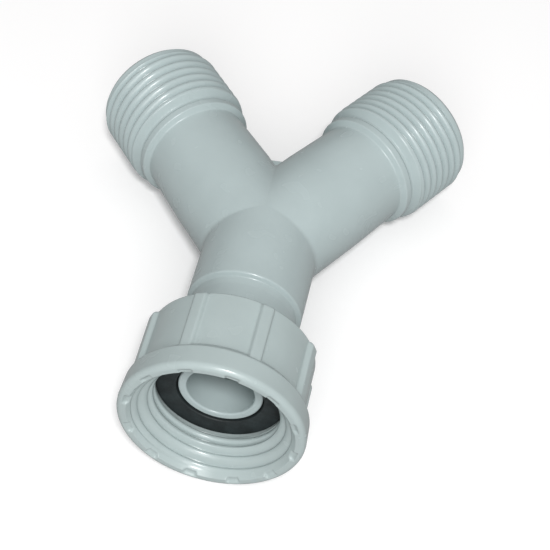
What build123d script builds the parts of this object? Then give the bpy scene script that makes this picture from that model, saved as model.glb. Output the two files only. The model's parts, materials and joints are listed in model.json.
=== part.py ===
import os
from math import cos, radians, sin
from build123d import *

# Y connector for G 3/4 hose couplings: one inlet with a loose union nut, two threaded outlets.
# Lengths are in millimetres. Along each arm they are measured from the hub, where the three
# centre lines meet. The connector lies on a level surface, Z up, on its nut and both outlets.

# ---- arms of the moulded body ---------------------------------------------------------------
bore_radius = 8.9  # waterway
arm_wall = 2.45  # where the arms meet
left_angle = 40.2  # left outlet, measured from the inlet's centre line
right_angle = 32.5  # right outlet

hub_radius = bore_radius + arm_wall  # outside of all three arms where they meet

# ---- outlets, the same on both arms ---------------------------------------------------------
outlet_length = 48.65  # hub to the end face
taper_start = 17.0  # past the place where the two outlets part
outlet_tube_wall = 2.1  # where the plain tube meets the bead
thread_radius = 13.22  # G 3/4 outside thread, 26.44 over the crests
thread_length = 12.5  # with the run-out at its inner end
thread_depth = 0.92
pilot_length = 2.45  # plain end in front of the last turn
pilot_chamfer = 0.4
bead_width = 1.7
bead_rise = 0.45  # above the valley
valley_width = 1.6  # flat bottom of the shallow valley in front of the bead
edge_radius = 0.4  # moulded edges of the bead and the valley

pilot_start = outlet_length - pilot_length  # the last turn ends here
thread_start = pilot_start - thread_length
valley_start = thread_start - valley_width
bead_end = valley_start - 0.8
bead_start = bead_end - bead_width
outlet_tube_radius = bore_radius + outlet_tube_wall
pilot_radius = thread_radius - thread_depth
valley_radius = thread_radius - thread_depth
bead_radius = valley_radius + bead_rise

# ---- web in the crotch between the outlets ---------------------------------------------------
web_inside = 2.949  # back from the crotch, within the wall
web_past_crotch = 1.551
web_width = 4.4  # its sides end inside the outlets' walls
web_height = 6.6

crotch = hub_radius / sin(radians((left_angle + right_angle) / 2))
web_start = crotch - web_inside
web_reach = crotch + web_past_crotch

# ---- inlet -----------------------------------------------------------------------------------
shoulder = 18.0  # end of the thick part of the inlet
shoulder_fillet = 0.9
neck_wall = 1.4
flange_rise = 1.4  # holds the union nut
flange_face = 35.6  # washer seat
flange_thickness = 2.6
flange_chamfer = 0.5  # lead-in, for snapping the nut on
spigot_radius = 8.1  # reaches into the washer's hole and centres it
spigot_length = 2.7
spigot_wall = 1.6
spigot_bore_length = 8.3  # narrow part of the waterway
spigot_taper_length = 4.0

neck_radius = bore_radius + neck_wall
flange_radius = neck_radius + flange_rise
flange_back = flange_face - flange_thickness
spigot_bore = spigot_radius - spigot_wall
spigot_end = flange_face + spigot_length
spigot_taper_end = spigot_end - spigot_bore_length
spigot_taper_start = spigot_taper_end - spigot_taper_length

# ---- sealing washer --------------------------------------------------------------------------
washer_thickness = 3.0
washer_overhang = 0.66  # past the flange, so that the nut's thread holds it in
washer_hole_clearance = 0.3  # around the spigot
washer_edge = 0.25

washer_radius = flange_radius + washer_overhang
washer_hole_radius = spigot_radius + washer_hole_clearance
washer_face = flange_face + washer_thickness

# ---- union nut -------------------------------------------------------------------------------
nut_length = 19.1
nut_wall = 3.1
nut_back_fillet = 0.5
lip_thickness = 5.0
lip_clearance = 0.35  # around the neck
flange_clearance = 0.4  # between the nut's lip and the flange
relief_clearance = 0.59  # around the washer, which is wider than the flange
relief_past_washer = 0.4
nut_thread_radius = 12.06  # G 3/4 inside thread, at its crests
lead_in_length = 4.7  # the mouth narrows in a cone
collar_length = 6.6
collar_flare = 1.6
collar_step = 1.55  # above the nut's body
collar_draft = 0.3  # the collar widens towards the mouth
collar_edge = 1.1
collar_wall = 1.7  # at the mouth
rib_count = 8
rib_width = 2.9
rib_height = 0.7
rib_back = 0.5  # the ribs start this far in front of the nut's back face
rib_fillet = 0.3
notch_count = 12
notch_width = 2.7
notch_depth = 0.55
notch_reach = 0.8  # out from the edge of the mouth
notch_turn = 17.5

lip_radius = neck_radius + lip_clearance
lip_face = flange_back - flange_clearance
nut_back = lip_face - lip_thickness
nut_face = nut_back + nut_length
lead_in_end = nut_face - lead_in_length
collar_start = nut_face - collar_length
relief_radius = washer_radius + relief_clearance
relief_end = washer_face + relief_past_washer
nut_body_radius = relief_radius + nut_wall
collar_radius = nut_body_radius + collar_step
mouth_radius = collar_radius - collar_wall
rib_radius = nut_body_radius + rib_height

# ---- how it lies -----------------------------------------------------------------------------
# Three points carry it: the widest place of the nut's collar and the last crest of each outlet.
nut_rest_radius = collar_radius + collar_draft
nut_rest = Vector(0, -(nut_face - collar_edge), -nut_rest_radius)
left, right = radians(left_angle), radians(right_angle)
left_rest = Vector(-pilot_start * sin(left), pilot_start * cos(left), -thread_radius)
right_rest = Vector(pilot_start * sin(right), pilot_start * cos(right), -thread_radius)
floor_normal = (right_rest - nut_rest).cross(left_rest - nut_rest).normalized()
hub_height = -floor_normal.dot(nut_rest)
up = Vector(-floor_normal.X, -floor_normal.Y, floor_normal.Z)
across = Vector(0, 1, 0).cross(up).normalized()

# The origin is on the surface, below the middle of the connector.
reach_left = outlet_length * sin(left) + pilot_radius * cos(left)
reach_left = max(reach_left, pilot_start * sin(left) + thread_radius * cos(left))
reach_right = outlet_length * sin(right) + pilot_radius * cos(right)
reach_right = max(reach_right, pilot_start * sin(right) + thread_radius * cos(right))
reach_back = max(outlet_length * cos(right) + (pilot_radius - pilot_chamfer) * sin(right),
                 outlet_length * cos(left) + (pilot_radius - pilot_chamfer) * sin(left))
reach_front = nut_face + (nut_rest_radius - collar_edge) * abs(up.Y)
hub = Vector((reach_left - reach_right) / 2, (reach_front - reach_back) / 2, hub_height)

# In these planes X is a radius and Y runs out along an arm.
body_plane = Plane(origin=hub, x_dir=across, z_dir=up)


def along_arm(angle):
    """The plane of an arm that is turned by this angle from the middle of the body."""
    return Plane(origin=hub, x_dir=across.rotate(Axis(hub, up), angle), z_dir=up)


inlet_plane = along_arm(180)
left_plane = along_arm(left_angle)
right_plane = along_arm(-right_angle)
arm_planes = (inlet_plane, left_plane, right_plane)
inlet_axis = Axis(hub, inlet_plane.y_dir)


def mitre(arm_plane):
    """Cut the arm being built where it meets the other two, halfway between their centre lines."""
    for other in arm_planes:
        if other is not arm_plane:
            halfway = Plane(origin=hub, z_dir=arm_plane.y_dir - other.y_dir)
            split(bisect_by=halfway, keep=Keep.TOP)


def across_inlet(distance):
    """The plane square to the inlet's centre line, facing out, this far from the hub."""
    return Plane(origin=hub + inlet_plane.y_dir * distance, x_dir=across, z_dir=inlet_plane.y_dir)


def corner(radius, distance):
    """The corner of the profile being drawn that is nearest to this place."""
    return vertices().sort_by_distance((radius, distance))[0]


# ---- moulded Y body --------------------------------------------------------------------------
outlets = []
for arm_plane in (left_plane, right_plane):
    with BuildPart() as outlet:
        with BuildSketch(arm_plane):
            with BuildLine():
                Polyline(
                    (bore_radius, 0),
                    (hub_radius, 0),
                    (hub_radius, taper_start),
                    (outlet_tube_radius, bead_start),
                    (bead_radius, bead_start + 0.3),
                    (bead_radius, bead_end),
                    (valley_radius, valley_start),
                    (valley_radius, thread_start),
                    (thread_radius, thread_start + 0.6),
                    (thread_radius, pilot_start),
                    (pilot_radius, pilot_start + 0.5),
                    (pilot_radius, outlet_length),
                    (bore_radius, outlet_length),
                    close=True,
                )
            make_face()
            fillet(corner(outlet_tube_radius, bead_start), edge_radius)
            fillet(corner(bead_radius, bead_start + 0.3), edge_radius)
            fillet(corner(bead_radius, bead_end), edge_radius)
            fillet(corner(valley_radius, valley_start), edge_radius)
            fillet(corner(valley_radius, thread_start), edge_radius)
            fillet(corner(thread_radius, thread_start + 0.6), edge_radius)
            chamfer(corner(pilot_radius, outlet_length), pilot_chamfer)
        revolve(axis=Axis(hub, arm_plane.y_dir))
        mitre(arm_plane)
    outlets.append(outlet.part)

with BuildPart() as inlet:
    with BuildSketch(inlet_plane):
        with BuildLine():
            Polyline(
                (bore_radius, 0),
                (hub_radius, 0),
                (hub_radius, shoulder),
                (neck_radius, shoulder),
                (neck_radius, flange_back),
                (flange_radius, flange_back),
                (flange_radius, flange_face),
                (spigot_radius, flange_face),
                (spigot_radius, spigot_end),
                (spigot_bore, spigot_end),
                (spigot_bore, spigot_taper_end),
                (bore_radius, spigot_taper_start),
                close=True,
            )
        make_face()
        fillet(corner(hub_radius, shoulder), shoulder_fillet)
        chamfer(corner(flange_radius, flange_face), flange_chamfer)
        fillet(corner(spigot_bore, spigot_end), edge_radius)
        fillet(corner(spigot_radius, spigot_end), edge_radius)
    revolve(axis=inlet_axis)
    mitre(inlet_plane)

with BuildPart() as y_body:
    add(outlets)
    add(inlet.part)
    with BuildSketch(along_arm((left_angle - right_angle) / 2)):
        with BuildLine():
            Polyline(
                (0, web_start),
                (web_width / 2, web_reach),
                (-web_width / 2, web_reach),
                close=True,
            )
        make_face()
    extrude(amount=web_height / 2, both=True)

# ---- sealing washer --------------------------------------------------------------------------
with BuildPart() as sealing_washer:
    with BuildSketch(across_inlet(flange_face)):
        Circle(washer_radius)
        Circle(washer_hole_radius, mode=Mode.SUBTRACT)
    extrude(amount=washer_thickness)
    fillet(sealing_washer.edges().filter_by(GeomType.CIRCLE), washer_edge)

# ---- union nut -------------------------------------------------------------------------------

def along(edge):
    """How far an edge of the ribs is in front of their back ends."""
    return (edge.center() - hub).dot(inlet_plane.y_dir) - nut_back - rib_back


def reach(edge):
    """How far an edge is from the inlet's centre line."""
    out = edge.center() - hub
    return (out - inlet_plane.y_dir * out.dot(inlet_plane.y_dir)).length


# grip ribs, which run under the collar
rib_length = collar_start + collar_flare - nut_back - rib_back

with BuildPart() as ribs:
    with BuildSketch(across_inlet(nut_back + rib_back)):
        with PolarLocations(nut_body_radius, rib_count, start_angle=180 / rib_count):
            Rectangle(2 * rib_height + 1, rib_width)
    extrude(amount=rib_length)
    with BuildSketch(across_inlet(nut_back + rib_back)):
        Circle(rib_radius)
    extrude(amount=rib_length, mode=Mode.INTERSECT)
    long_edges = ribs.edges().filter_by(inlet_axis).filter_by(lambda e: reach(e) > nut_body_radius)
    back_edges = ribs.edges().filter_by(lambda e: along(e) < 0.01).filter_by(GeomType.CIRCLE)
    fillet(long_edges + back_edges, rib_fillet)

with BuildPart() as union_nut:
    with BuildSketch(inlet_plane):
        with BuildLine():
            Polyline(
                (lip_radius, nut_back),
                (nut_body_radius, nut_back),
                (nut_body_radius, collar_start),
                (collar_radius, collar_start + collar_flare),
                (nut_rest_radius, nut_face),
                (mouth_radius, nut_face),
                (nut_thread_radius, lead_in_end),
                (nut_thread_radius, relief_end + 0.5),
                (relief_radius, relief_end),
                (relief_radius, lip_face),
                (lip_radius, lip_face),
                close=True,
            )
        make_face()
        fillet(corner(nut_body_radius, nut_back), nut_back_fillet)
        fillet(corner(nut_body_radius, collar_start), 0.5)
        fillet(corner(collar_radius, collar_start + collar_flare), 0.6)
        fillet(corner(nut_rest_radius, nut_face), collar_edge)
        chamfer(corner(lip_radius, nut_back), 0.3)
    revolve(axis=inlet_axis)
    add(ribs.part)
    # ratchet notches round the mouth
    with BuildSketch(across_inlet(nut_face)):
        with PolarLocations(mouth_radius + notch_reach / 2 - 0.4, notch_count, start_angle=notch_turn):
            Rectangle(notch_reach + 0.8, notch_width)
    extrude(amount=-notch_depth, mode=Mode.SUBTRACT)

# ---- hand-over -------------------------------------------------------------------------------
os.makedirs("parts", exist_ok=True)
y_body.part.label = "y_body"
sealing_washer.part.label = "sealing_washer"
union_nut.part.label = "union_nut"
export_step(y_body.part, "parts/y_body.step")
export_step(sealing_washer.part, "parts/sealing_washer.step")
export_step(union_nut.part, "parts/union_nut.step")
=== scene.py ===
import json
from math import ceil, cos, pi, radians, sin, tan

import bmesh
import bpy
from bpy.props import FloatProperty, FloatVectorProperty, IntProperty, PointerProperty
from mathutils import Matrix, Vector
from mathutils.geometry import intersect_line_line


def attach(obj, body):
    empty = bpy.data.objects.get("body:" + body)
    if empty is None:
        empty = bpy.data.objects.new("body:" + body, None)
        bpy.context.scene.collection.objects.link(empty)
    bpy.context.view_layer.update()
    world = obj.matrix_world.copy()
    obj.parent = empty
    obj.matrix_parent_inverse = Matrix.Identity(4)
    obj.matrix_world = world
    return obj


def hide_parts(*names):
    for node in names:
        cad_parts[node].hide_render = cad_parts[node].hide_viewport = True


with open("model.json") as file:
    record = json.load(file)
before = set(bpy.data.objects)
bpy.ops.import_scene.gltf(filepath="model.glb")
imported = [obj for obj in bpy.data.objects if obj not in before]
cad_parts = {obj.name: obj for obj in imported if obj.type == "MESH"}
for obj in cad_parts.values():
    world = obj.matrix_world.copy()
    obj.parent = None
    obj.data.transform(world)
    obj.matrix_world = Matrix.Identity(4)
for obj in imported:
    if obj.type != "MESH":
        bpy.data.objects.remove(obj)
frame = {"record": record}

bl_info = {
    "name": "Hose Y Connector",
    "version": (1, 0, 0),
    "blender": (4, 5, 0),
    "location": "3D View > Sidebar > Y Connector",
    "description": "Builds a moulded Y connector for hoses, with its union nut and sealing washer",
    "category": "Object",
}

MM = 0.001
WELD = 1.5e-6  # vertices closer than this become one
SLIVER = 1e-7  # shorter edges are dissolved
BESIDE = 0.06  # millimetres from a rounding to the extra point on each side of it


def centre_line(name):
    """A point on the centre line of a mount, and its direction out of the connector."""
    mount = next(m for m in frame["record"]["mounts"] if m["name"] == name)
    return Vector(mount["pos_m"]), Vector(mount["axis"]).normalized()


# The hub is where the three centre lines meet. AHEAD points from the inlet to the outlets.
left_place, left_out = centre_line("outlet_left")
right_place, right_out = centre_line("outlet_right")
HUB = intersect_line_line(left_place, left_place + left_out,
                          right_place, right_place + right_out)[0]
AHEAD = -centre_line("inlet_thread")[1]
UP = right_out.cross(left_out).normalized()
ACROSS = AHEAD.cross(UP)


# ---- sizes and finishes that a user can change -----------------------------------------------

def length(name, millimetres, description):
    """A size in millimetres, kept in metres."""
    return FloatProperty(name=name, description=description, default=millimetres * MM,
                         unit="LENGTH", subtype="DISTANCE", precision=5)


def angle(name, degrees_, description):
    """An angle in degrees, kept in radians."""
    return FloatProperty(name=name, description=description, default=radians(degrees_),
                         unit="ROTATION", subtype="ANGLE")


def colour(name, rgb, description):
    """A linear colour."""
    return FloatVectorProperty(name=name, description=description, default=rgb, size=3,
                               min=0.0, max=1.0, subtype="COLOR")


class BodySizes(bpy.types.PropertyGroup):
    """Sizes of the moulded Y body, measured along each arm from the hub"""
    left_angle: angle("Left outlet", 40.2, "Turn of the left outlet from straight ahead")
    right_angle: angle("Right outlet", 32.5, "Turn of the right outlet from straight ahead")
    hub_radius: length("Hub radius", 11.35, "Outside of all three arms where they meet")
    bore_radius: length("Bore radius", 8.9, "Waterway")
    outlet_length: length("Outlet length", 48.65, "Hub to the end face of an outlet")
    bead_radius: length("Bead radius", 12.2, "Ring behind the thread")
    thread_radius: length("Thread radius", 13.22, "Over the crests of the outside threads")
    pilot_radius: length("Pilot radius", 12.6, "Plain end in front of the last turn")
    left_pitch: length("Left pitch", 2.2, "Spacing of the left outlet's turns")
    right_pitch: length("Right pitch", 1.923, "Spacing of the right outlet's turns")
    groove_depth: length("Groove depth", 1.1, "From the crests down to the grooves")
    shoulder: length("Shoulder", 18.0, "End of the thick part of the inlet")
    flange_face: length("Flange face", 35.6, "Seat of the sealing washer")
    crease: length("Crease rounding", 0.8, "Blend where two arms meet")
    web_reach: length("Web reach", 20.7, "Hub to the edge of the web between the outlets")


class NutSizes(bpy.types.PropertyGroup):
    """Sizes of the union nut, measured along the inlet from the hub"""
    back: length("Back", 27.6, "Back face of the nut")
    face: length("Face", 46.7, "Front face of the nut")
    body_radius: length("Body radius", 16.05, "Between the ribs")
    collar_radius: length("Collar radius", 17.6, "Plain band at the mouth")
    thread_radius: length("Thread radius", 12.06, "Over the crests of the inside thread")
    groove_depth: length("Groove depth", 1.1, "From the crests out to the grooves")
    pitch: length("Pitch", 1.8, "Spacing of the inside turns")
    ribs: IntProperty(name="Ribs", description="Grip ribs round the nut", default=8, min=3, max=24)
    rib_width: length("Rib width", 2.9, "Along the circumference")
    rib_height: length("Rib height", 0.95, "Above the nut's body")
    notches: IntProperty(name="Notches", description="Notches round the mouth", default=12,
                         min=0, max=36)
    notch_width: length("Notch width", 2.7, "Along the mouth's edge")
    notch_depth: length("Notch depth", 0.55, "Below the front face")


class WasherSizes(bpy.types.PropertyGroup):
    """Sizes of the sealing washer"""
    radius: length("Radius", 12.36, "Outside of the washer")
    hole: length("Hole radius", 8.4, "Inside of the washer")
    thickness: length("Thickness", 3.0, "Unpressed")


class Finishes(bpy.types.PropertyGroup):
    """Colours of the plastic, the rubber and the stage"""
    body_plastic: colour("Body plastic", (0.445, 0.523, 0.526), "Moulded body")
    nut_plastic: colour("Nut plastic", (0.440, 0.515, 0.513), "Union nut")
    washer_rubber: colour("Washer rubber", (0.012, 0.017, 0.018), "Sealing washer")
    floor: colour("Floor", (0.95, 0.945, 0.945), "Plain pale floor")


# ---- meshes ----------------------------------------------------------------------------------

def directions(turn):
    """Where an arm points when it is turned by this angle from straight ahead, and its side."""
    out = AHEAD * cos(turn) + ACROSS * sin(turn)
    return out, out.cross(UP)


def spoke(side, turn):
    """Square to an arm, turned by this angle from straight up, right-handed about the arm."""
    return UP * cos(turn) + side * sin(turn)


def rounded(corners, facets=5):
    """A profile of (radius, distance, rounding) corners as points, with its corners rounded.

    A point is added on each side of a rounding, which keeps the long faces flat when shaded.
    """
    points = []
    for i, (radius, distance, rounding) in enumerate(corners):
        here = Vector((radius, distance))
        if rounding == 0 or i in (0, len(corners) - 1):
            points.append(here)
            continue
        before = (Vector(corners[i - 1][:2]) - here).normalized()
        after = (Vector(corners[i + 1][:2]) - here).normalized()
        bend = before.angle(after)
        back = rounding / tan(bend / 2)
        middle = here + (before + after).normalized() * (rounding / sin(bend / 2))
        start, end = here + before * back, here + after * back
        points.append(start + before * BESIDE * MM)
        sweep = pi - bend
        first = start - middle
        turn_way = 1 if first.x * (end - middle).y - first.y * (end - middle).x > 0 else -1
        for k in range(facets + 1):
            a = turn_way * sweep * k / facets
            points.append(middle + Vector((first.x * cos(a) - first.y * sin(a),
                                           first.x * sin(a) + first.y * cos(a))))
        points.append(end + after * BESIDE * MM)
    return points


def divided(points, low, high, step, least=0.0, most=1.0):
    """The same profile, with rows no further apart than step between these two distances.

    Only walls with radii between least and most are divided.
    """
    result = [points[0]]
    for here, there in zip(points, points[1:]):
        inside = min(here.y, there.y) < high and max(here.y, there.y) > low
        inside = inside and min(here.x, there.x) > least and max(here.x, there.x) < most
        pieces = max(1, ceil(abs(there.y - here.y) / step - 0.01)) if inside else 1
        result += [here.lerp(there, k / pieces) for k in range(1, pieces + 1)]
    return result


def grid_faces(bm, rows, closed):
    """Faces between rows of vertices that each run round an arm."""
    pairs = zip(rows, rows[1:] + rows[:1]) if closed else zip(rows, rows[1:])
    for row, following in pairs:
        count = len(row)
        for k in range(count):
            bm.faces.new((row[k], row[(k + 1) % count], following[(k + 1) % count], following[k]))


def finished_mesh(bm, name):
    """Welds and smooths a shell, points its faces outwards and makes it an object."""
    bmesh.ops.remove_doubles(bm, verts=bm.verts, dist=WELD)
    bmesh.ops.dissolve_degenerate(bm, edges=bm.edges, dist=SLIVER)
    bmesh.ops.recalc_face_normals(bm, faces=bm.faces)
    for face in bm.faces:
        face.smooth = True
    mesh = bpy.data.meshes.new(name)
    bm.to_mesh(mesh)
    bm.free()
    obj = bpy.data.objects.new(name, mesh)
    bpy.context.scene.collection.objects.link(obj)
    return obj


def turned_ring(name, corners, columns, dense=()):
    """A ring about the inlet's centre line, from the corners of its closed profile.

    Each part of dense holds what divided() needs to add rows to some of its walls.
    """
    out, side = directions(pi)
    loop = [corners[-1]] + corners + [corners[0]]
    points = rounded(loop)[1:-1]
    for part in dense:
        points = divided(points, *part)
    bm = bmesh.new()
    rows = []
    for point in points:
        rows.append([bm.verts.new(HUB + out * point.y + spoke(side, 2 * pi * k / columns) * point.x)
                     for k in range(columns)])
    grid_faces(bm, rows, closed=True)
    return finished_mesh(bm, name)


def mitred_arm(bm, turn, other_turns, profile, hub_radius, bore_radius, straight, blend, columns):
    """One hollow arm, cut back halfway to its neighbours, with the outside crease blended."""
    out, side = directions(turn)
    others = [directions(other)[0] for other in other_turns]
    blend_steps, plain_steps, bore_steps = 6, 18, 10
    crowding = 1.5  # power that draws the rows together towards the neighbours
    rows = [[] for _ in range(blend_steps + plain_steps + len(profile) + bore_steps)]
    for k in range(columns):
        angle_ = 2 * pi * k / columns
        way = spoke(side, angle_)
        other_out = max(others, key=lambda other: other.dot(way) / (1 - out.dot(other)))
        lean = other_out.dot(way) / (1 - out.dot(other_out))
        reach = blend * abs(sin(angle_))
        crease = HUB + way * hub_radius + out * (hub_radius * lean)
        places = []
        for step in range(blend_steps + 1):
            t = 0.5 * (1 - step / blend_steps)
            places.append(crease + out * (reach * (1 - t) ** 2) + other_out * (reach * t * t))
        start = hub_radius * lean + reach
        for step in range(1, plain_steps):
            share = (step / plain_steps) ** crowding
            places.append(HUB + way * hub_radius + out * (start + (straight - start) * share))
        places += [HUB + way * point.x + out * point.y for point in profile]
        inner = bore_radius * lean
        for step in range(1, bore_steps + 1):
            share = 1 - (1 - step / bore_steps) ** crowding
            places.append(HUB + way * bore_radius + out * (straight + (inner - straight) * share))
        for row, place in zip(rows, places):
            row.append(bm.verts.new(place))
    grid_faces(bm, rows, closed=False)


def crotch_web(bm, turn, reach):
    """The flat web between the outlets, with softened edges; its sides end inside their walls."""
    out, side = directions(turn)
    half_width, half_height = 2.2 * MM, 3.3 * MM
    root, softening = 16.2 * MM, 0.4 * MM
    outline = ((0, root), (half_width, reach), (-half_width, reach))
    low, high = ([bm.verts.new(HUB + side * x + out * y + UP * z) for x, y in outline]
                 for z in (-half_height, half_height))
    faces = [bm.faces.new(low[::-1]), bm.faces.new(high)]
    faces += [bm.faces.new((low[k], low[k - 2], high[k - 2], high[k])) for k in range(3)]
    edges = {edge for face in faces for edge in face.edges}
    bmesh.ops.bevel(bm, geom=list(edges), offset=softening, segments=4, affect="EDGES",
                    profile=0.5)


# ---- node trees ------------------------------------------------------------------------------

class Tree:
    """Adds nodes to a tree, with each input linked to a socket or set to a value."""

    def __init__(self, tree):
        self.tree = tree

    def put(self, value, socket):
        if isinstance(value, bpy.types.NodeSocket):
            self.tree.links.new(value, socket)
        else:
            socket.default_value = value

    def node(self, kind, inputs=None, **settings):
        made = self.tree.nodes.new(kind)
        for key, value in settings.items():
            setattr(made, key, value)
        for key, value in (inputs or {}).items():
            self.put(value, made.inputs[key])
        return made

    def math(self, operation, *values):
        made = self.node("ShaderNodeMath", dict(enumerate(values)), operation=operation)
        return made.outputs[0]

    def plus(self, first, second):
        return self.math("ADD", first, second)

    def minus(self, first, second):
        return self.math("SUBTRACT", first, second)

    def times(self, product, *others):
        for other in others:
            product = self.math("MULTIPLY", product, other)
        return product

    def between(self, value, low, high):
        """1 where the value lies between low and high, otherwise 0."""
        return self.times(self.math("GREATER_THAN", value, low),
                          self.math("LESS_THAN", value, high))

    def either(self, switch, first, second):
        """The first value where the switch is 1, the second where it is 0."""
        return self.plus(self.times(first, switch), self.times(second, self.minus(1.0, switch)))

    def vector(self, operation, *values):
        made = self.node("ShaderNodeVectorMath", dict(enumerate(values)), operation=operation)
        return made.outputs["Value" if operation in ("DOT_PRODUCT", "LENGTH") else "Vector"]

    def scaled(self, vector, factor):
        made = self.node("ShaderNodeVectorMath", {0: vector, "Scale": factor}, operation="SCALE")
        return made.outputs["Vector"]

    def ramp(self, value, low, high, start=0.0, end=1.0, kind="SMOOTHSTEP"):
        """Goes from start to end while the value goes from low to high."""
        made = self.node("ShaderNodeMapRange", {0: value, 1: low, 2: high, 3: start, 4: end},
                         interpolation_type=kind)
        return made.outputs[0]


def geometry_tree(name, sockets):
    """A Geometry Nodes tree with these named inputs, as (name, kind, description)."""
    group = bpy.data.node_groups.new(name, "GeometryNodeTree")
    group.is_modifier = True
    group.interface.new_socket("Geometry", in_out="INPUT", socket_type="NodeSocketGeometry")
    for label, kind, description in sockets:
        made = group.interface.new_socket(label, in_out="INPUT", socket_type="NodeSocket" + kind)
        made.description = description
    group.interface.new_socket("Geometry", in_out="OUTPUT", socket_type="NodeSocketGeometry")
    tree = Tree(group)
    return tree, tree.node("NodeGroupInput").outputs


AXIS_SOCKETS = [
    ("Centre", "Vector", "Where distances along the axis start"),
    ("Axis", "Vector", "Unit vector along the axis"),
    ("Zero", "Vector", "Unit vector square to the axis, where angles start"),
    ("Material", "Material", "Finish of the piece"),
]


def about_axis(tree, given):
    """Distance along the axis, radius, turn (a full turn is 1) and the way out, of each point."""
    place = tree.node("GeometryNodeInputPosition").outputs[0]
    offset = tree.vector("SUBTRACT", place, given["Centre"])
    distance = tree.vector("DOT_PRODUCT", offset, given["Axis"])
    spoke_ = tree.vector("SUBTRACT", offset, tree.scaled(given["Axis"], distance))
    radius = tree.vector("LENGTH", spoke_)
    side = tree.vector("CROSS_PRODUCT", given["Axis"], given["Zero"])
    turn = tree.math("ARCTAN2", tree.vector("DOT_PRODUCT", spoke_, side),
                     tree.vector("DOT_PRODUCT", spoke_, given["Zero"]))
    turn = tree.math("DIVIDE", turn, 2 * pi)
    return distance, radius, turn, tree.vector("NORMALIZE", spoke_)


def off_centre(tree, given, turn, radius):
    """Distance along a circumference from the middle of the nearest of Count repeats."""
    share = tree.times(tree.minus(turn, given["First"]), given["Count"])
    phase = tree.math("FRACT", tree.plus(share, 0.5))
    return tree.times(tree.math("DIVIDE", tree.minus(phase, 0.5), given["Count"]), 2 * pi, radius)


def moved(tree, given, distance, radius, way):
    """Puts each point at this distance and radius, and ends the tree."""
    along = tree.scaled(given["Axis"], distance)
    place = tree.vector("ADD", tree.vector("ADD", given["Centre"], along), tree.scaled(way, radius))
    shaped = tree.node("GeometryNodeSetPosition", {"Geometry": given["Geometry"],
                                                   "Position": place})
    skin = tree.node("GeometryNodeSetMaterial", {"Geometry": shaped.outputs[0],
                                                 "Material": given["Material"]})
    tree.node("NodeGroupOutput", {0: skin.outputs[0]})
    return tree.tree


def screw_thread_tree():
    """Grooves on a helix round an outside or an inside wall, with rounded crests."""
    tree, given = geometry_tree("Screw thread", AXIS_SOCKETS + [
        ("Crest Radius", "Float", "Over the crests, or between them in an inside thread"),
        ("Depth", "Float", "From the crests to the bottom of the grooves"),
        ("Pitch", "Float", "Spacing of the turns"),
        ("First Groove", "Float", "Where a groove crosses the zero angle"),
        ("Start", "Float", "The grooves begin here"),
        ("Run-in", "Float", "Length over which they reach their full depth"),
        ("End", "Float", "The grooves end here"),
        ("Roundness", "Float", "Power of the crest's curve; higher is flatter"),
        ("Inside", "Float", "0 for an outside thread, 1 for an inside thread"),
        ("Inner Wall", "Float", "An inside thread is cut only within this radius"),
    ])
    run_out = 0.3 * MM
    distance, radius, turn, way = about_axis(tree, given)
    turns = tree.math("DIVIDE", tree.minus(distance, given["First Groove"]), given["Pitch"])
    phase = tree.math("FRACT", tree.minus(turns, turn))
    from_crest = tree.times(tree.math("ABSOLUTE", tree.minus(phase, 0.5)), 2.0)
    depth = tree.times(tree.math("POWER", from_crest, given["Roundness"]), given["Depth"])
    begun = tree.ramp(distance, given["Start"], tree.plus(given["Start"], given["Run-in"]))
    unended = tree.ramp(distance, tree.minus(given["End"], run_out), given["End"], 1.0, 0.0)
    cut = tree.times(depth, begun, unended)
    outside = tree.math("MINIMUM", radius, tree.minus(given["Crest Radius"], cut))
    on_wall = tree.math("LESS_THAN", radius, given["Inner Wall"])
    inside = tree.plus(radius, tree.times(cut, on_wall))
    threaded = tree.either(given["Inside"], inside, outside)
    in_reach = tree.between(distance, given["Start"], given["End"])
    return moved(tree, given, distance, tree.either(in_reach, threaded, radius), way)


def grip_ribs_tree():
    """Flat-topped ribs along a round wall, rounded at their sides and their back ends."""
    tree, given = geometry_tree("Grip ribs", AXIS_SOCKETS + [
        ("Count", "Float", "Ribs round the wall"),
        ("First", "Float", "Turn of the first rib from the zero angle, in full turns"),
        ("Width", "Float", "Along the circumference"),
        ("Wall Radius", "Float", "Wall between the ribs"),
        ("Height", "Float", "Above the wall"),
        ("Start", "Float", "Back ends of the ribs"),
        ("End", "Float", "Front ends, inside the collar"),
        ("Rounding", "Float", "Of the sides and the back ends"),
    ])
    back_roundings = 1.6  # length of a rib's back end, as a multiple of the rounding
    under = 0.6 * MM  # the wall's own edge is lifted with it, this far below its radius
    distance, radius, turn, way = about_axis(tree, given)
    aside = tree.math("ABSOLUTE", off_centre(tree, given, turn, given["Wall Radius"]))
    edge = tree.math("DIVIDE", given["Width"], 2.0)
    lift = tree.ramp(aside, tree.minus(edge, given["Rounding"]), edge, 1.0, 0.0)
    risen = tree.plus(given["Start"], tree.times(given["Rounding"], back_roundings))
    back = tree.ramp(distance, given["Start"], risen, 0.0, 1.0, "LINEAR")
    back = tree.math("SQRT", tree.minus(1.0, tree.math("POWER", tree.minus(1.0, back), 2.0)))
    rib = tree.plus(given["Wall Radius"], tree.times(lift, back, given["Height"]))
    on_wall = tree.math("GREATER_THAN", radius, tree.minus(given["Wall Radius"], under))
    chosen = tree.times(on_wall, tree.between(distance, given["Start"], given["End"]))
    result = tree.either(chosen, tree.math("MAXIMUM", radius, rib), radius)
    return moved(tree, given, distance, result, way)


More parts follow.
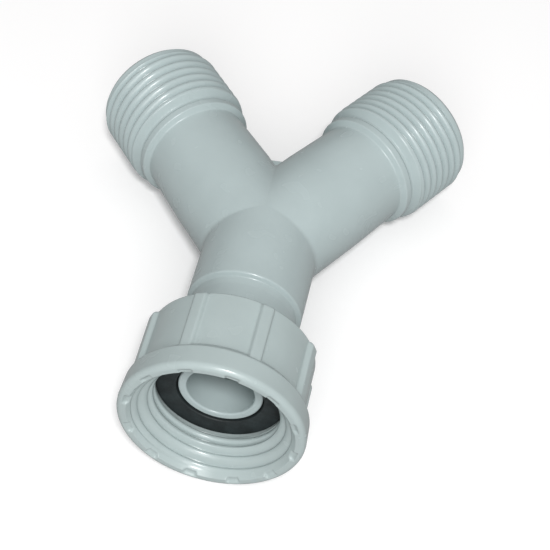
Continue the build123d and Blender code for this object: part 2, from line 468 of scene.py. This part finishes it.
def mouth_notches_tree():
    """Shallow notches in the edge of a mouth, with sloping ends."""
    tree, given = geometry_tree("Mouth notches", AXIS_SOCKETS + [
        ("Count", "Float", "Notches round the mouth"),
        ("First", "Float", "Turn of the first notch from the zero angle, in full turns"),
        ("Width", "Float", "Along the circumference"),
        ("Inner Radius", "Float", "Where a notch begins"),
        ("Outer Radius", "Float", "Where a notch ends"),
        ("Face", "Float", "Front face"),
        ("Depth", "Float", "Below the front face"),
    ])
    slope_in, slope_out, slope_aside = 0.3 * MM, 0.22 * MM, 0.1 * MM
    reach = 1.5 * MM  # only points this near the front face are moved
    distance, radius, turn, way = about_axis(tree, given)
    inner, outer, face = given["Inner Radius"], given["Outer Radius"], given["Face"]
    aside = off_centre(tree, given, turn, outer)
    edge = tree.math("DIVIDE", given["Width"], 2.0)
    opposite = tree.times(edge, -1.0)
    before_end = tree.ramp(aside, tree.minus(edge, slope_out), edge, 1.0, 0.0)
    past_start = tree.ramp(aside, opposite, tree.plus(opposite, slope_in))
    within_outer = tree.ramp(radius, tree.minus(outer, slope_aside), outer, 1.0, 0.0)
    past_inner = tree.ramp(radius, tree.minus(inner, slope_aside), inner)
    deep = tree.times(tree.times(before_end, past_start), tree.times(within_outer, past_inner))
    bottom = tree.minus(face, tree.times(given["Depth"], deep))
    near = tree.math("GREATER_THAN", distance, tree.minus(face, reach))
    result = tree.either(near, tree.math("MINIMUM", distance, bottom), distance)
    return moved(tree, given, result, radius, way)


def shape_with(obj, group, values):
    """Runs a node tree on a piece and keeps the result as its plain mesh."""
    modifier = obj.modifiers.new(group.name, "NODES")
    modifier.node_group = group
    for item in group.interface.items_tree:
        if item.item_type == "SOCKET" and item.in_out == "INPUT" and item.name in values:
            value = values[item.name]
            modifier[item.identifier] = tuple(value) if isinstance(value, Vector) else value
    bpy.context.view_layer.update()
    evaluated = obj.evaluated_get(bpy.context.evaluated_depsgraph_get())
    mesh = bpy.data.meshes.new_from_object(evaluated)
    obj.modifiers.remove(modifier)
    old = obj.data
    obj.data = mesh
    bpy.data.meshes.remove(old)
    mesh.name = obj.name


# ---- materials -------------------------------------------------------------------------------

def surface(name, base, roughness):
    """A material with its Principled shader, its tree and the object's own coordinates."""
    material = bpy.data.materials.new(name)
    material.use_nodes = True
    tree = Tree(material.node_tree)
    shader = material.node_tree.nodes["Principled BSDF"]
    shader.inputs["Base Color"].default_value = (*base, 1)
    shader.inputs["Roughness"].default_value = roughness
    place = tree.node("ShaderNodeTexCoord").outputs["Object"]
    return material, shader, tree, place


def noise(tree, place, size, detail=2.0):
    """Even noise with features of about this size."""
    made = tree.node("ShaderNodeTexNoise", {"Vector": place, "Scale": 1 / size, "Detail": detail})
    return made.outputs["Fac"]


def shaded(tree, shader, base, shade):
    """Multiplies the base colour by a grey shade."""
    grey = tree.node("ShaderNodeCombineColor", {0: shade, 1: shade, 2: shade})
    mixed = tree.node("ShaderNodeMix", {"Factor": 1.0}, data_type="RGBA", blend_type="MULTIPLY")
    mixed.inputs[6].default_value = (*base, 1)
    tree.put(grey.outputs[0], mixed.inputs[7])
    tree.put(mixed.outputs[2], shader.inputs["Base Color"])


def skinned(tree, shader, height, strength, distance):
    """Gives a surface a fine skin of this height."""
    bump = tree.node("ShaderNodeBump", {"Strength": strength, "Distance": distance,
                                        "Height": height})
    tree.put(bump.outputs[0], shader.inputs["Normal"])


def moulded_plastic(name, base):
    """Satin moulded plastic: soft cloudiness, a fine skin and slightly uneven gloss."""
    material, shader, tree, place = surface(name, base, 0.24)
    clouds = noise(tree, place, size=9 * MM, detail=3.0)
    shaded(tree, shader, base, tree.ramp(clouds, 0.3, 0.7, start=0.965, end=1.025, kind="LINEAR"))
    patches = noise(tree, place, size=4 * MM, detail=1.0)
    tree.put(tree.ramp(patches, 0.3, 0.7, start=0.2, end=0.28, kind="LINEAR"),
             shader.inputs["Roughness"])
    fine = noise(tree, place, size=1.6 * MM, detail=0.0)
    broad = noise(tree, place, size=5 * MM, detail=0.0)
    skinned(tree, shader, tree.plus(fine, tree.times(broad, 2.0)), strength=0.1, distance=0.08 * MM)
    shader.inputs["IOR"].default_value = 1.49
    shader.inputs["Subsurface Weight"].default_value = 0.15
    shader.inputs["Subsurface Radius"].default_value = (1.0, 1.0, 1.0)
    shader.inputs["Subsurface Scale"].default_value = 0.6 * MM
    return material


def sealing_rubber(name, base):
    """Black rubber: faint bloom, a dull fine-grained skin."""
    material, shader, tree, place = surface(name, base, 0.6)
    bloom = noise(tree, place, size=2.5 * MM, detail=3.0)
    shaded(tree, shader, base, tree.ramp(bloom, 0.35, 0.75, start=0.8, end=1.7, kind="LINEAR"))
    patches = noise(tree, place, size=0.8 * MM, detail=2.0)
    tree.put(tree.ramp(patches, 0.3, 0.7, start=0.5, end=0.68, kind="LINEAR"),
             shader.inputs["Roughness"])
    grain = noise(tree, place, size=0.25 * MM, detail=3.0)
    skinned(tree, shader, grain, strength=0.3, distance=0.04 * MM)
    return material


def pale_floor(base):
    """A white floor that keeps its shadows and throws less light back up than it shows."""
    glow, bounce = 0.1, 0.42
    material = bpy.data.materials.new("pale floor")
    material.use_nodes = True
    tree = Tree(material.node_tree)
    material.node_tree.nodes.remove(material.node_tree.nodes["Principled BSDF"])
    shown = tree.node("ShaderNodeBsdfDiffuse", {"Color": (*base, 1)})
    lift = tree.node("ShaderNodeEmission", {"Color": (1, 1, 1, 1), "Strength": glow})
    both = tree.node("ShaderNodeAddShader", {0: shown.outputs[0], 1: lift.outputs[0]})
    thrown = tree.node("ShaderNodeBsdfDiffuse", {"Color": (bounce, bounce, bounce, 1)})
    seen = tree.node("ShaderNodeLightPath").outputs["Is Camera Ray"]
    mixed = tree.node("ShaderNodeMixShader", {0: seen, 1: thrown.outputs[0], 2: both.outputs[0]})
    tree.put(mixed.outputs[0], material.node_tree.nodes["Material Output"].inputs["Surface"])
    return material


# ---- operators -------------------------------------------------------------------------------

class MakeBody(bpy.types.Operator):
    """Makes the moulded Y body with its threaded outlets"""
    bl_idname = "yconnector.make_body"
    bl_label = "Y body"

    def execute(self, context):
        sizes = context.scene.y_body_sizes
        turns = {"inlet": pi, "left": -sizes.left_angle, "right": sizes.right_angle}
        straight, inlet_straight = 17 * MM, 15 * MM  # nearer to the hub, the mitres shape the arms
        arm, bead, valley = 11.0 * MM, sizes.bead_radius, 11.6 * MM
        thread, pilot, bore = sizes.thread_radius, sizes.pilot_radius, sizes.bore_radius
        end = sizes.outlet_length
        rim = end - 0.05 * MM
        outlet = rounded([
            (sizes.hub_radius, straight, 0),
            (arm, 29.3 * MM, 0.4 * MM),
            (bead, 30.0 * MM, 0.35 * MM),
            (bead, 31.3 * MM, 0.35 * MM),
            (valley, 32.0 * MM, 0.2 * MM),
            (valley, 32.5 * MM, 0.2 * MM),
            (thread - 0.15 * MM, 33.5 * MM, 0.4 * MM),
            (thread, 34.3 * MM, 0.4 * MM),
            (thread, 46.2 * MM, 0.15 * MM),
            (pilot, 46.7 * MM, 0.2 * MM),
            (pilot, end - 0.9 * MM, 0.25 * MM),
            (pilot - 0.7 * MM, rim, 0.15 * MM),
            (bore, rim, 0.3 * MM),
            (bore, straight, 0),
        ])
        outlet = divided(outlet, low=32.8 * MM, high=47.0 * MM, step=0.13 * MM, least=11 * MM)
        neck, flange, spigot, spigot_bore = 10.3 * MM, 11.7 * MM, 8.1 * MM, 6.5 * MM
        seat, tip = sizes.flange_face, 38.3 * MM
        inlet = rounded([
            (sizes.hub_radius, inlet_straight, 0),
            (sizes.hub_radius, sizes.shoulder, 0.45 * MM),
            (neck + 0.15 * MM, sizes.shoulder + 0.45 * MM, 0.35 * MM),
            (neck, sizes.shoulder + 2.0 * MM, 1.0 * MM),
            (neck, seat - 2.6 * MM, 0.1 * MM),
            (flange, seat - 2.6 * MM, 0.15 * MM),
            (flange, seat - 0.5 * MM, 0.1 * MM),
            (flange - 0.5 * MM, seat, 0.12 * MM),
            (spigot, seat, 0.1 * MM),
            (spigot, tip, 0.4 * MM),
            (spigot_bore, tip, 0.4 * MM),
            (spigot_bore, 30.0 * MM, 1.0 * MM),
            (bore, 26.0 * MM, 1.0 * MM),
            (bore, inlet_straight, 0),
        ], facets=7)
        bm = bmesh.new()
        for name, profile, begin in (("inlet", inlet, inlet_straight), ("left", outlet, straight),
                                     ("right", outlet, straight)):
            others = [turns[other] for other in turns if other != name]
            mitred_arm(bm, turns[name], others, profile, sizes.hub_radius, bore, begin,
                       blend=sizes.crease, columns=144)
        crotch_web(bm, (turns["left"] + turns["right"]) / 2, sizes.web_reach)
        body = finished_mesh(bm, "moulded_body")
        plastic = moulded_plastic("body plastic", context.scene.y_finishes.body_plastic)
        group = screw_thread_tree()
        # The photograph shows a groove at this distance, this many degrees round from the top.
        for name, pitch, seen, degrees_ in (("left", sizes.left_pitch, 34.71 * MM, 32),
                                            ("right", sizes.right_pitch, 34.84 * MM, -22)):
            shape_with(body, group, {
                "Centre": HUB, "Axis": directions(turns[name])[0], "Zero": UP,
                "Material": plastic, "Crest Radius": thread, "Depth": sizes.groove_depth,
                "Pitch": pitch, "First Groove": seen + pitch * degrees_ / 360,
                "Start": 33.2 * MM, "Run-in": 0.8 * MM, "End": 47.2 * MM,
                "Roundness": 2.1, "Inside": 0.0, "Inner Wall": 0.0,
            })
        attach(body, "body")
        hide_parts("y_body")
        return {"FINISHED"}


class MakeWasher(bpy.types.Operator):
    """Makes the rubber washer that seals the inlet"""
    bl_idname = "yconnector.make_washer"
    bl_label = "Sealing washer"

    def execute(self, context):
        sizes = context.scene.y_washer_sizes
        back = context.scene.y_body_sizes.flange_face
        front = back + sizes.thickness
        washer = turned_ring("sealing_ring", [
            (sizes.hole, front, 0.25 * MM),
            (sizes.radius, front, 0.25 * MM),
            (sizes.radius, back, 0.2 * MM),
            (sizes.hole, back, 0.2 * MM),
        ], columns=120)
        rubber = sealing_rubber("washer rubber", context.scene.y_finishes.washer_rubber)
        washer.data.materials.append(rubber)
        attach(washer, "body")
        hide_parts("sealing_washer")
        return {"FINISHED"}


class MakeNut(bpy.types.Operator):
    """Makes the union nut with its ribs, its inside thread and the notches round its mouth"""
    bl_idname = "yconnector.make_nut"
    bl_label = "Union nut"

    def execute(self, context):
        sizes = context.scene.y_nut_sizes
        back, face = sizes.back, sizes.face
        lip, relief, relief_back, relief_front = 10.65 * MM, 12.95 * MM, 32.6 * MM, 38.75 * MM
        wall = sizes.body_radius
        inner_wall = 15.95 * MM  # lies between the threaded wall and the outside
        fine = 0.14 * MM  # spacing of the rows that the threads and the ribs bend
        nut = turned_ring("union_ring", [
            (lip, back, 0.3 * MM),
            (wall, back, 0.5 * MM),
            (wall, back + 1.7 * MM, 0),
            (wall, 40.1 * MM, 0.5 * MM),
            (sizes.collar_radius, 41.7 * MM, 0.6 * MM),
            (sizes.collar_radius + 0.28 * MM, face, 1.1 * MM),
            (15.9 * MM, face, 0.15 * MM),
            (sizes.thread_radius, 42.0 * MM, 0.3 * MM),
            (sizes.thread_radius, 39.0 * MM, 0.1 * MM),
            (relief, relief_front, 0.05 * MM),
            (relief, relief_back, 0.3 * MM),
            (lip, relief_back, 0.15 * MM),
        ], columns=480, dense=(
            (38.6 * MM, face - 0.3 * MM, fine, 0, inner_wall),
            (back + 0.5 * MM, back + 1.6 * MM, fine, 16.0 * MM, 16.1 * MM),
            (40.7 * MM, 41.2 * MM, fine, 16.0 * MM, 17.8 * MM),
        ))
        plastic = moulded_plastic("nut plastic", context.scene.y_finishes.nut_plastic)
        about = {"Centre": HUB, "Axis": directions(pi)[0], "Zero": UP, "Material": plastic}
        shape_with(nut, grip_ribs_tree(), {
            **about, "Count": float(sizes.ribs), "First": 0.5 / sizes.ribs,
            "Width": sizes.rib_width, "Wall Radius": wall, "Height": sizes.rib_height,
            "Start": back + 0.5 * MM, "End": 42 * MM, "Rounding": 0.5 * MM,
        })
        shape_with(nut, screw_thread_tree(), {
            **about, "Crest Radius": sizes.thread_radius, "Depth": sizes.groove_depth,
            "Pitch": sizes.pitch, "First Groove": 40.85 * MM - sizes.pitch / 2,
            "Start": 38.8 * MM, "Run-in": 0.1 * MM, "End": face - 0.9 * MM,
            "Roundness": 2.6, "Inside": 1.0, "Inner Wall": inner_wall,
        })
        shape_with(nut, mouth_notches_tree(), {
            **about, "Count": float(sizes.notches), "First": 17.5 / 360,
            "Width": sizes.notch_width, "Inner Radius": 15.1 * MM, "Outer Radius": 16.7 * MM,
            "Face": face, "Depth": sizes.notch_depth,
        })
        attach(nut, "nut")
        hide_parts("union_nut")
        return {"FINISHED"}


class SetStage(bpy.types.Operator):
    """Sets the floor, the soft lights, the world and the camera"""
    bl_idname = "yconnector.set_stage"
    bl_label = "Stage"

    def execute(self, context):
        scene = context.scene
        half, below = 3.0, 0.02 * MM
        floor_mesh = bpy.data.meshes.new("floor")
        floor_mesh.from_pydata([(-half, -half, 0), (half, -half, 0), (half, half, 0),
                                (-half, half, 0)], [], [(0, 1, 2, 3)])
        ground = bpy.data.objects.new("floor", floor_mesh)
        scene.collection.objects.link(ground)
        floor_mesh.materials.append(pale_floor(scene.y_finishes.floor))
        ground.location.z = -below

        world = bpy.data.worlds.new("soft studio")
        scene.world = world
        world.use_nodes = True
        tree = Tree(world.node_tree)
        way = tree.node("ShaderNodeTexCoord").outputs["Generated"]
        height = tree.node("ShaderNodeSeparateXYZ", {0: way}).outputs[2]
        glow = tree.ramp(height, 0.0, 1.0, start=0.17, end=0.49, kind="LINEAR")
        background = world.node_tree.nodes["Background"]
        seen = tree.node("ShaderNodeLightPath").outputs["Is Camera Ray"]
        tree.put(tree.math("MAXIMUM", glow, seen), background.inputs["Strength"])
        background.inputs["Color"].default_value = (1, 1, 1, 1)

        def lamp(name, direction, away, size, power):
            light = bpy.data.lights.new(name, "AREA")
            light.shape = "DISK"
            light.size = size
            light.energy = power
            holder = bpy.data.objects.new(name, light)
            direction = Vector(direction).normalized()
            aim = direction.to_track_quat("Z", "Y").to_matrix().to_4x4()
            holder.matrix_world = Matrix.Translation(HUB + direction * away) @ aim
            scene.collection.objects.link(holder)

        lamp("key", (0.139, -0.524, 0.840), away=0.9, size=0.13, power=4.7)
        lamp("fill", (0.10, -0.81, 0.574), away=0.9, size=0.5, power=2.5)

        camera = bpy.data.cameras.new("camera")
        camera.sensor_width = 36.0
        camera.lens = 107.77
        camera.clip_start = 0.01
        camera.clip_end = 20.0
        holder = bpy.data.objects.new("camera", camera)
        forward = Vector((-0.08632, 0.60657, -0.79033))
        right = Vector((0.97729, 0.20566, 0.05110))
        turned = Matrix((right, right.cross(forward), -forward)).transposed().to_4x4()
        place = Vector((34.22, -204.556, 272.717)) * MM
        holder.matrix_world = Matrix.Translation(place) @ turned
        scene.collection.objects.link(holder)
        scene.camera = holder
        scene.view_settings.view_transform = "Standard"
        return {"FINISHED"}


class YConnectorPanel(bpy.types.Panel):
    """Pieces and sizes of the Y connector"""
    bl_label = "Y Connector"
    bl_idname = "VIEW3D_PT_y_connector"
    bl_space_type = "VIEW_3D"
    bl_region_type = "UI"
    bl_category = "Y Connector"

    def draw(self, context):
        layout = self.layout
        for maker in MAKERS:
            layout.operator(maker.bl_idname)
        for label, group in (("Body", "y_body_sizes"), ("Washer", "y_washer_sizes"),
                             ("Nut", "y_nut_sizes"), ("Finishes", "y_finishes")):
            box = layout.box()
            box.label(text=label)
            settings = getattr(context.scene, group)
            for key in settings.__annotations__:
                box.prop(settings, key)


MAKERS = (MakeBody, MakeWasher, MakeNut, SetStage)
GROUPS = (("y_body_sizes", BodySizes), ("y_washer_sizes", WasherSizes),
          ("y_nut_sizes", NutSizes), ("y_finishes", Finishes))


def register():
    for name, group in GROUPS:
        bpy.utils.register_class(group)
        setattr(bpy.types.Scene, name, PointerProperty(type=group))
    for maker in MAKERS:
        bpy.utils.register_class(maker)
    bpy.utils.register_class(YConnectorPanel)


def unregister():
    bpy.utils.unregister_class(YConnectorPanel)
    for maker in reversed(MAKERS):
        bpy.utils.unregister_class(maker)
    for name, group in reversed(GROUPS):
        delattr(bpy.types.Scene, name)
        bpy.utils.unregister_class(group)


def main():
    register()
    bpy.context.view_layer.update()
    bpy.ops.yconnector.make_body()
    bpy.ops.yconnector.make_washer()
    bpy.ops.yconnector.make_nut()
    bpy.ops.yconnector.set_stage()


if __name__ == "__main__":
    main()
